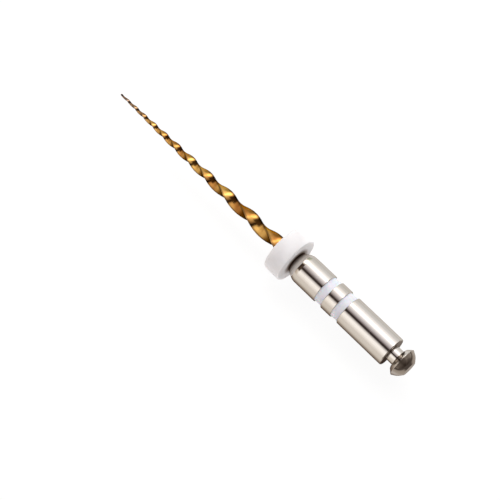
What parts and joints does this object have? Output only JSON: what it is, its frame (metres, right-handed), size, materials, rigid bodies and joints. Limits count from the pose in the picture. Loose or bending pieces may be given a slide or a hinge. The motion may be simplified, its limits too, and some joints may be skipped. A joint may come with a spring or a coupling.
{
  "type": "endodontic file",
  "caption": "Rotary root-canal file: twisted tapered gold blade, sliding silicone depth stop, and a plated latch-type handle with recessed colour bands and a button head.",
  "frame": {"origin": "on the tool's axis, in the plane of the handle's rear shoulder", "axes": "+X along the tool's axis towards the latch end, the cutting tip towards -X, +Z away from the drive flat"},
  "size_m": [0.0302, 0.0036, 0.0037],
  "materials": {
    "nickel_titanium": "ground, then heat-tinted gold",
    "nickel_plate": "bright nickel plate over turned brass",
    "band_enamel": "smooth white",
    "silicone": "soft matte white",
    "adhesive": "cured resin"
  },
  "bodies": {
    "file_and_handle": {"cutting_file": "nickel_titanium", "latch_handle": "nickel_plate", "front_band": "band_enamel", "rear_band": "band_enamel", "bond_sleeve": "adhesive"},
    "stop": {"depth_stop": "silicone"}
  },
  "joints": [
    {"name": "stop_slide", "type": "slide", "parent": "file_and_handle", "child": "stop", "axis": [-1, 0, 0], "range_m": [0, 0.009]}
  ]
}
